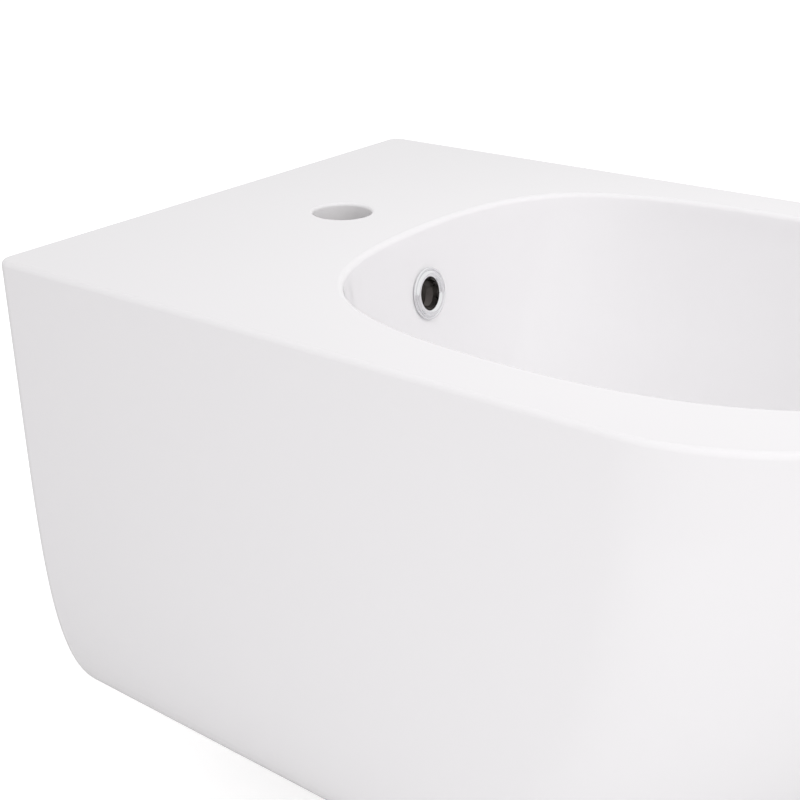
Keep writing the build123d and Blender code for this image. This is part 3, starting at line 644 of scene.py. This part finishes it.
def lathe_group():
    """Shared effect: the fine rings that a lathe's tool leaves round the Z axis of the given place."""
    group = bpy.data.node_groups.new("lathe_lines", "ShaderNodeTree")
    group.interface.new_socket("Place", in_out="INPUT", socket_type="NodeSocketVector")
    group.interface.new_socket("Lines", in_out="INPUT", socket_type="NodeSocketFloat")
    group.interface.new_socket("Height", in_out="OUTPUT", socket_type="NodeSocketFloat")
    given = group.nodes.new("NodeGroupInput")
    result = group.nodes.new("NodeGroupOutput")
    rings = group.nodes.new("ShaderNodeTexWave")
    rings.wave_type = "RINGS"
    rings.rings_direction = "Z"
    rings.inputs["Distortion"].default_value = 0.6
    rings.inputs["Detail Scale"].default_value = 2.0
    group.links.new(given.outputs["Place"], rings.inputs["Vector"])
    group.links.new(given.outputs["Lines"], rings.inputs["Scale"])
    group.links.new(rings.outputs["Fac"], result.inputs["Height"])
    return group


LATHE = lathe_group()


def lathe_lines(paint, centre, turn, lines, depth):
    """Adds turning lines about an axis to a material; their depth is in mm."""
    tree = paint.node_tree
    place = tree.nodes.new("ShaderNodeTexCoord")
    centred = tree.nodes.new("ShaderNodeMapping")
    centred.vector_type = "TEXTURE"
    centred.inputs["Location"].default_value = Vector(centre) / 1000
    centred.inputs["Rotation"].default_value = [math.radians(angle) for angle in turn]
    rings = tree.nodes.new("ShaderNodeGroup")
    rings.node_tree = LATHE
    rings.inputs["Lines"].default_value = lines
    relief = tree.nodes.new("ShaderNodeBump")
    relief.inputs["Distance"].default_value = depth / 1000
    tree.links.new(place.outputs["Object"], centred.inputs["Vector"])
    tree.links.new(centred.outputs["Vector"], rings.inputs["Place"])
    tree.links.new(rings.outputs["Height"], relief.inputs["Height"])
    tree.links.new(tree.nodes["grain"].outputs["Normal"], relief.inputs["Normal"])
    tree.links.new(relief.outputs["Normal"], tree.nodes["Principled BSDF"].inputs["Normal"])


def thread(name, crest, root, pitch, start, end, steps=32):
    """A closed screw ridge about Z between two heights in mm, cut off square at both ends."""
    turns = math.ceil((end - start) / pitch) + 2
    bpy.ops.mesh.primitive_circle_add(vertices=4, radius=0.001, fill_type="NOTHING")
    piece = bpy.context.object
    piece.name = name
    section = [(root, -0.44), (crest, -0.07), (crest, 0.07), (root, 0.44)]
    for vertex, (radius, share) in zip(piece.data.vertices, section):
        vertex.co = Vector((radius, 0, start + (share - 1) * pitch)) / 1000
    chosen(piece)
    screw = piece.modifiers.new("screw", "SCREW")
    screw.steps = steps
    screw.render_steps = steps
    screw.screw_offset = pitch / 1000
    screw.iterations = turns
    screw.use_merge_vertices = False
    bpy.ops.object.modifier_apply(modifier="screw")
    bpy.ops.object.mode_set(mode="EDIT")
    bpy.ops.mesh.select_all(action="SELECT")
    bpy.ops.mesh.fill_holes(sides=4)
    bpy.ops.mesh.select_all(action="SELECT")
    bpy.ops.mesh.normals_make_consistent(inside=False)
    bpy.ops.object.mode_set(mode="OBJECT")
    run_out = crest - root
    room = turned("room", [
        (0, start), (root, start), (crest + 0.01, start + run_out), (crest + 0.01, end - run_out),
        (root, end), (0, end),
    ], steps)
    cut(piece, room, "INTERSECT")
    return piece


body_profile = [(28.4, -138.3), (30.8, -138.3)]
body_profile += arc((30.8, -139.0), 0.7, 80, 0, 6)
body_profile += [(31.5, -140.2), (31.1, -140.6), (22.4, -147.5), (WASTE_RADIUS, -147.5)]
body_profile += [(WASTE_RADIUS, -186.5), (TAIL_RADIUS, -187.6), (TAIL_RADIUS, -216.8)]
body_profile += [(19.2, -WASTE_END), (WASTE_BORE, -WASTE_END), (WASTE_BORE, -141.8)]
body_profile += arc((WASTE_BORE + 1.0, -141.8), 1.0, 170, 90, 6)
body_profile += [(25.0, -140.8)]
waste = turned("waste_body", [(radius, RIM + depth) for radius, depth in body_profile], 128)
ridge = thread("waste_thread", WASTE_RADIUS, 19.7, 2.31, RIM - 217.2, RIM - 187.2, 64)
cut(waste, ridge, "UNION")
for angle in range(0, 360, 90):
    port = block("port", -5, 5, -5, 5, 12, 2)
    settled(port, (15, 0, 0), (90, 0, 90))
    cut(waste, settled(port, (0, 0, RIM - PORT_DEPTH), (0, 0, angle)))
hub = turned("hub", [
    (4.05, RIM - 185), (7.0, RIM - 185), (7.5, RIM - 184.5), (7.5, RIM - 178.5), (7.0, RIM - 178),
    (4.05, RIM - 178),
], 64)
for angle in (45, 165, 285):
    rib = block("rib", 6.5, 18.0, -1.5, 1.5, 6, 0.5)
    cut(hub, settled(rib, (0, 0, RIM - 184.5), (0, 0, angle)), "UNION")
cut(waste, hub, "UNION")
settled(waste, (0, DRAIN, 0))
lathe_lines(plated, (0, DRAIN, 0), (0, 0, 0), 900, 0.004)
dressed(waste, "bidet", ["waste_body"], "bright_chrome", plated)

# Waste gaskets and slip washer
# A grey rubber cone seals the flange against the glaze. Below the boss a thick black rubber ring and
# a thin slippery washer let the back nut pull the waste down without twisting the rubber.
grey_rubber = finish(
    "clear_grey_rubber", (0.42, 0.42, 0.43), (0.35, 0.35, 0.36), 40, 1500, 0.45, 0.6, 0.02
)
rubber = finish("black_rubber", (0.04, 0.04, 0.045), (0.065, 0.064, 0.063), 50, 1500, 0.5, 0.7, 0.03)
slippery = finish("slip_plastic", (0.84, 0.84, 0.81), (0.78, 0.78, 0.745), 60, 1200, 0.35, 0.5, 0.01)


def ring_profile(outer, inner, start, end, soft):
    """Profile of a plain ring whose four corners are rounded by an amount."""
    low, high = min(start, end), max(start, end)
    corners = [(inner + soft, low + soft, 180), (outer - soft, low + soft, 270),
               (outer - soft, high - soft, 0), (inner + soft, high - soft, 90)]
    points = []
    for radius, height, angle in corners:
        points += arc((radius, height), soft, angle, angle + 90, 4)
    return points


def fitted(name, profile, slot, paint, rides_on="bidet", axis=DRAIN, steps=96):
    """A finished turned piece, set on the drain's axis or another upright one."""
    piece = settled(turned(name, profile, steps), (0, axis, 0))
    dressed(piece, rides_on, [name], slot, paint)


fitted("waste_top_gasket", [
    (31.2, RIM - 140.85), (31.8, RIM - 141.6), (31.75, RIM - 142.4), (24.1, RIM - 148.6),
    (23.6, RIM - 148.8), (22.8, RIM - 148.8), (22.6, RIM - 148.6), (22.6, RIM - 147.7),
], "clear_grey_rubber", grey_rubber)
lower = ring_profile(31, 21.2, RIM - 191, boss_end, 0.9)
fitted("waste_lower_gasket", lower, "black_rubber", rubber)
slip = ring_profile(30, 21.2, RIM - 193, RIM - 191, 0.3)
fitted("waste_slip_washer", slip, "slip_plastic", slippery)

# Waste back nut
# A hexagon nut turned from brass bar, 50 mm across its flats, with a round flange on its upper side.
# It screws up the waste's tube and clamps the waste in the ceramic.


def hexagon(name, across, bore, start, end, chamfer):
    """A hexagon nut blank about Z with turned-off corners and a countersunk bore."""
    corner = across / math.sqrt(3)
    corners = [(corner * math.cos(math.radians(60 * k)), corner * math.sin(math.radians(60 * k)))
               for k in range(6)]
    nut = settled(slab(name, corners, end - start), (0, 0, start))
    flat = across / 2
    limit = turned("limit", [
        (bore + 0.8, start), (flat, start), (corner, start + chamfer), (corner, end - chamfer),
        (flat, end), (bore + 0.8, end), (bore, end - 0.8), (bore, start + 0.8),
    ], 96)
    cut(nut, limit, "INTERSECT")
    return nut


nut = hexagon("waste_back_nut", 50, 20.0, RIM - 203, RIM - 194.9, 1.5)
flange = turned("flange", ring_profile(29, 20.0, RIM - 195, RIM - 193, 0.4))
cut(nut, flange, "UNION")
settled(nut, (0, DRAIN, 0))
lathe_lines(brass, (0, DRAIN, 0), (0, 0, 0), 700, 0.006)
dressed(nut, "bidet", ["waste_back_nut"], "raw_brass", brass)

# Push plug
# A domed chrome cap with a rubber ring under it screws onto a brass stem. The stem slides in a plastic
# cartridge on the waste's bar, with a coil spring inside that lifts it.
CARTRIDGE_FLOOR = 175.5
shares = [step / 14 for step in range(15)]
profile = [(29.4 * share, RIM - 124.6 - 3.6 * share ** 2.4) for share in shares]
profile += arc((29.2, RIM - 129.1), 0.8, 60, -90, 8)
profile += [(28.6, RIM - 129.9), (27.6, RIM - 129.5), (15.8, RIM - 129.5), (15.8, RIM - 132.2),
            (7.4, RIM - 132.2), (7.0, RIM - 132.6), (7.0, RIM - 136.6), (6.6, RIM - 137.0),
            (4.2, RIM - 137.0), (4.2, RIM - 131.0), (0, RIM - 131.0)]
fitted("plug_cap", profile, "bright_chrome", chrome, "plug", steps=128)
fitted("plug_seal", [
    (15.85, RIM - 129.55), (23.4, RIM - 129.55), (24.0, RIM - 129.9), (24.2, RIM - 130.4),
    (24.2, RIM - 131.6), (23.9, RIM - 132.3), (23.4, RIM - 132.6), (15.85, RIM - 132.6),
], "black_rubber", rubber, "plug")
stem = turned("plug_stem", [
    (0, RIM - 131.1), (3.0, RIM - 131.1), (3.4, RIM - 131.5), (3.4, RIM - 138.4), (4.0, RIM - 139.0),
    (4.0, RIM - 149.0), (6.0, RIM - 149.0), (6.4, RIM - 149.4), (6.4, RIM - 151.1), (6.0, RIM - 151.5),
    (3.0, RIM - 151.5), (3.0, RIM - 165.5), (2.5, RIM - 166.0), (0, RIM - 166.0),
], 64)
cut(stem, thread("stem_thread", 4.0, 3.3, 1.25, RIM - 138.0, RIM - 131.6), "UNION")
settled(stem, (0, DRAIN, 0))
dressed(stem, "plug", ["plug_stem"], "raw_brass", brass)
spring_floor = RIM - CARTRIDGE_FLOOR
fitted("plug_cartridge", [
    (4.05, RIM - 146.3), (4.4, RIM - 146.0), (8.2, RIM - 146.0), (8.8, RIM - 146.4),
    (9.0, RIM - 147.0), (9.0, RIM - 177.6), (8.6, RIM - 178.0), (4.0, RIM - 178.0),
    (4.0, RIM - 185.4), (3.4, RIM - 186.0), (0, RIM - 186.0), (0, spring_floor), (6.9, spring_floor),
    (6.9, RIM - 148.7), (4.05, RIM - 148.7),
], "slip_plastic", slippery, steps=64)
wire = finish(
    "spring_steel", (0.60, 0.60, 0.61), (0.52, 0.52, 0.54), 90, 1200, 0.2, 0.32, 0.004, metal=1.0
)
nodes["plug_spring"].data.materials.clear()
nodes["plug_spring"].data.materials.append(wire)
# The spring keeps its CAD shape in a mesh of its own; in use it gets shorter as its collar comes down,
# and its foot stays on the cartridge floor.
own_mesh(nodes["plug_spring"])

# Trap inlet nut and washer
# A ribbed union nut, moulded in white polypropylene, pulls the elbow's collar up against a flat black
# washer at the end of the waste.
BOTTLE = -88.0
FLUTES = 12
plastic = finish(
    "white_plastic", (0.88, 0.88, 0.87), (0.85, 0.85, 0.84), 30, 1400, 0.28, 0.4, 0.012
)


def fluted_ring(radius, offset, dent, steps=16):
    """Round outline with shallow finger flutes, each an arc whose centre lies beyond the radius."""
    ring = []
    for number in range(FLUTES * steps):
        angle = math.tau * number / (FLUTES * steps)
        off = angle - math.tau / FLUTES * round(angle * FLUTES / math.tau)
        reach = radius
        side = (radius + offset) * math.sin(off)
        if abs(side) < dent:
            near = (radius + offset) * math.cos(off) - math.sqrt(dent ** 2 - side ** 2)
            reach = min(radius, near)
        ring.append([reach * math.cos(angle), reach * math.sin(angle)])
    return ring


def ribbed(name, radius, offset, dent, start, end, soft=1.0):
    """A fluted grip about Z between two heights in mm, with both of its rims rounded."""
    ring = fluted_ring(radius, offset, dent)
    leans = [math.radians(22.5 * step) for step in range(5)]
    levels = [(start + soft * (1 - math.cos(lean)), soft * (1 - math.sin(lean))) for lean in leans]
    levels += [(start + end - height, inset) for height, inset in reversed(levels)]
    return skinned(name, [(RIM - height, widened(ring, -inset)) for height, inset in levels])


nut = ribbed("trap_inlet_nut", 27.0, 1.6, 2.4, RIM - 225.5, RIM - 206)
cut(nut, turned("bore", [
    (0, RIM - 226), (16.9, RIM - 226), (16.3, RIM - 225.0), (16.3, RIM - 223.05),
    (20.8, RIM - 223.05), (20.8, RIM - 207.0), (21.8, RIM - 205.5), (0, RIM - 205.5),
]))
settled(nut, (0, DRAIN, 0))
dressed(nut, "bidet", ["trap_inlet_nut"], "white_plastic", plastic)
flat_ring = ring_profile(20.6, 15.0, RIM - 220.6, RIM - WASTE_END, 0.3)
fitted("trap_inlet_washer", flat_ring, "black_rubber", rubber)

# Trap elbow
# A 32 mm polypropylene pipe that turns from the waste to the bottle in one quarter bend. A collar
# moulded at its upper end hangs in the union nut.
BEND = 24.0
INLET_DEPTH = 248.0
OUTLET_DEPTH = 200.0
PIPE_RADIUS = 16.0
PIPE_WALL = 2.0


def piped(name, radius, overlap):
    """A closed round bar along the elbow's route, longer than it at both ends by an overlap."""
    top = RIM - 222 + overlap
    bpy.ops.mesh.primitive_circle_add(vertices=64, radius=radius / 1000, fill_type="NOTHING")
    piece = bpy.context.object
    piece.name = name
    settled(piece, (0, DRAIN, top))
    bpy.ops.object.mode_set(mode="EDIT")
    bpy.ops.mesh.select_all(action="SELECT")
    drop = (RIM - INLET_DEPTH + BEND - top) / 1000
    bpy.ops.mesh.extrude_edges_move(TRANSFORM_OT_translate={"value": (0, 0, drop)})
    centre = Vector((0, DRAIN + BEND, RIM - INLET_DEPTH + BEND)) / 1000
    bpy.ops.mesh.spin(steps=24, angle=math.pi / 2, center=centre, axis=(-1, 0, 0))
    run = (BOTTLE - 38 - DRAIN - BEND + overlap) / 1000
    bpy.ops.mesh.extrude_edges_move(TRANSFORM_OT_translate={"value": (0, run, 0)})
    bpy.ops.mesh.select_all(action="SELECT")
    bpy.ops.mesh.remove_doubles(threshold=0.000002)
    bpy.ops.mesh.fill_holes(sides=0)
    bpy.ops.mesh.normals_make_consistent(inside=False)
    bpy.ops.object.mode_set(mode="OBJECT")
    return piece


elbow = piped("trap_elbow", PIPE_RADIUS, 0)
collar = turned("collar", ring_profile(20.6, 13.0, RIM - 223.0, RIM - 220.6, 0.4), 64)
cut(elbow, settled(collar, (0, DRAIN, 0)), "UNION")
cut(elbow, piped("elbow_bore", PIPE_RADIUS - PIPE_WALL, 4))
dressed(elbow, "bidet", ["trap_elbow"], "white_plastic", plastic)

# Trap bottle
# A bottle moulded in polypropylene with a wall across its middle that makes the water go down and up
# again. A low socket takes the elbow and a high one the wall pipe.
BOTTLE_RADIUS = 32.0
BOTTLE_TOP = 176.0
BOTTLE_END = 283.0
BAFFLE_END = 268.0
INLET_END = BOTTLE - BOTTLE_RADIUS - 12
OUTLET_END = BOTTLE + BOTTLE_RADIUS + 14


def along_wall(profile, depth, steps=96):
    """A piece turned about an axis along Y at a depth, from (radius, y) points."""
    piece = turned("turning", [(radius, -y) for radius, y in profile], steps)
    return settled(piece, (0, 0, RIM - depth), (90, 0, 0))


profile = [(0, RIM - BOTTLE_TOP)] + arc((26, RIM - 182), 6, 90, 0, 6)
profile += [(BOTTLE_RADIUS, RIM - 272.5), (31.2, RIM - 273.5), (31.2, RIM - 282.4)]
profile += [(30.8, RIM - BOTTLE_END), (0, RIM - BOTTLE_END)]
bottle = settled(turned("trap_body", profile, 128), (0, BOTTLE, 0))
# Each socket by its end, the direction along Y from there into the bottle, and its depth
sockets = ((INLET_END, 1, INLET_DEPTH), (OUTLET_END, -1, OUTLET_DEPTH))
for end, inwards, depth in sockets:
    socket = [(0, end), (19.4, end), (20, end + 0.6 * inwards), (20, BOTTLE), (0, BOTTLE)]
    cut(bottle, along_wall(socket, depth), "UNION")
profile = [(0, RIM - 178.6)] + arc((25.4, RIM - 182.6), 4, 90, 0, 4)
profile += [(29.4, RIM - BOTTLE_END - 1), (0, RIM - BOTTLE_END - 1)]
inside = settled(turned("inside", profile, 128), (0, BOTTLE, 0))
baffle = block("baffle", -40, 40, -1.25, 1.25, 91, 0.4)
cut(inside, settled(baffle, (0, BOTTLE, RIM - BAFFLE_END)))
cut(bottle, inside)
for end, inwards, depth in sockets:
    mouth, stop = end - inwards, BOTTLE - 20 * inwards
    bore = [(0, mouth), (16.9, mouth), (16.3, end + 0.6 * inwards), (16.3, stop), (0, stop)]
    cut(bottle, along_wall(bore, depth))
dressed(bottle, "bidet", ["trap_body"], "white_plastic", plastic)

# Trap cup and seal
# The cup screws off the bottle's lower end to clean the trap. It has finger flutes, a square foot for
# a spanner, and a rubber ring between its floor and the bottle.
CUP_FLOOR = 287.0
cup = ribbed("trap_cup", 37.0, 1.6, 2.4, RIM - 288.6, RIM - 274)
base = turned("base", [
    (0, RIM - 291), (33.6, RIM - 291), (34.6, RIM - 290.6), (36.2, RIM - 288.8),
    (36.2, RIM - 287.4), (0, RIM - 287.4),
])
cut(cup, base, "UNION")
foot = block("foot", -11, 11, -11, 11, 6, 1.5)
cut(cup, settled(foot, (0, 0, RIM - 296)), "UNION")
cut(cup, turned("bore", [
    (0, RIM - CUP_FLOOR), (32.05, RIM - CUP_FLOOR), (32.05, RIM - 275), (33.2, RIM - 273.5),
    (0, RIM - 273.5),
]))
settled(cup, (0, BOTTLE, 0))
dressed(cup, "bidet", ["trap_cup"], "white_plastic", plastic)
cup_ring = ring_profile(BOTTLE_RADIUS, 27.5, RIM - CUP_FLOOR, RIM - BOTTLE_END, 0.5)
fitted("trap_cup_seal", cup_ring, "black_rubber", rubber, axis=BOTTLE)

# Slip nuts and their washers
# A ribbed nut over each socket of the bottle squeezes a rubber ring round the pipe. The two nuts and
# the two rings are alike; one pair holds the elbow and the other the wall pipe.


def slip_joint(side, socket_end, sign, depth):
    """The nut and the rubber ring of one socket, which faces along Y by its sign."""
    nut = ribbed(f"trap_{side}_nut", 25.0, 1.6, 2.3, 0, 16)
    cut(nut, turned("bore", [
        (0, -1), (21.0, -1), (20.05, 0.8), (20.05, 13.5), (16.3, 13.5), (16.3, 15.4), (17.0, 17),
        (0, 17),
    ]))
    settled(nut, (0, socket_end - 9 * sign, RIM - depth), (-90 * sign, 0, 0))
    dressed(nut, "bidet", [f"trap_{side}_nut"], "white_plastic", plastic)
    ring = turned(f"trap_{side}_washer", ring_profile(19.9, 16.05, 0, 4.4, 0.6))
    settled(ring, (0, socket_end, RIM - depth), (-90 * sign, 0, 0))
    dressed(ring, "bidet", [f"trap_{side}_washer"], "black_rubber", rubber)


slip_joint("side", INLET_END, -1, INLET_DEPTH)
slip_joint("outlet", OUTLET_END, 1, OUTLET_DEPTH)

# Waste pipe
# A straight length of 32 mm polypropylene pipe from the bottle into the rubber-lined drain in the
# wall. A moulded bead near the wall stops it there, and its far end is chamfered.
INTO_WALL = 60.0
bore = PIPE_RADIUS - PIPE_WALL
profile = [(bore, -54), (15.5, -54), (PIPE_RADIUS, -53.5), (PIPE_RADIUS, -8.2)]
profile += arc((PIPE_RADIUS, -5.5), 1.4, -75, 75, 10)
profile += [(PIPE_RADIUS, -2.8), (PIPE_RADIUS, 58.6), (15.0, INTO_WALL), (bore, INTO_WALL)]
pipe = along_wall(profile, OUTLET_DEPTH)
pipe.name = "waste_pipe"
dressed(pipe, "bidet", ["waste_pipe"], "white_plastic", plastic)

# Wall fixings
# Two M12 studs of zinc-plated steel stand in the wall. A flanged plastic collar keeps each one off the
# ceramic, and a washer and a hexagon nut on the inner side pull the bidet to the wall.
zinc = finish(
    "zinc_steel", (0.66, 0.67, 0.69), (0.58, 0.60, 0.64), 60, 900, 0.22, 0.38, 0.006, metal=1.0
)


def paired(piece):
    """Sets a piece of the left-hand fixing on its stud, and a copy of it on the right-hand one."""
    settled(piece, (-STUD_X, 0, 0), (90, 0, 0))
    bpy.ops.object.duplicate(linked=False)
    bpy.context.object.location.x += 2 * STUD_X / 1000
    bpy.ops.object.transform_apply(location=True, rotation=True, scale=True)
    piece.select_set(True)
    bpy.context.view_layer.objects.active = piece
    bpy.ops.object.join()
    return piece


stud = turned("fixing_studs", [
    (0, -75), (4.4, -75), (5.16, -74.2), (5.16, -0.9), (5.45, -0.4), (5.45, 22.0), (5.0, 22.6),
    (5.0, 54.2), (4.2, 55), (0, 55),
], 48)
cut(stud, thread("wall_thread", 6.0, 5.05, 1.75, -74.6, -0.2), "UNION")
cut(stud, thread("nut_thread", 5.84, 4.9, 1.75, 22.3, 54.6), "UNION")
dressed(paired(stud), "bidet", ["fixing_studs"], "zinc_steel", zinc)
sleeve = turned("fixing_sleeves", [
    (6.15, 1.0), (9.4, 1.0), (9.85, 1.5), (9.85, 28.0), (15.6, 28.0), (16.0, 28.4), (16.0, 29.6),
    (15.1, 30.5), (6.6, 30.5), (6.15, 30.0),
])
dressed(paired(sleeve), "bidet", ["fixing_sleeves"], "slip_plastic", slippery)
washer = turned("fixing_washers", ring_profile(14, 6.5, 30.5, 33.0, 0.35))
dressed(paired(washer), "bidet", ["fixing_washers"], "zinc_steel", zinc)
nut = hexagon("fixing_nuts", 19, 5.3, 33, 43, 1.0)
dressed(paired(nut), "bidet", ["fixing_nuts"], "zinc_steel", zinc)
bpy.context.view_layer.update()
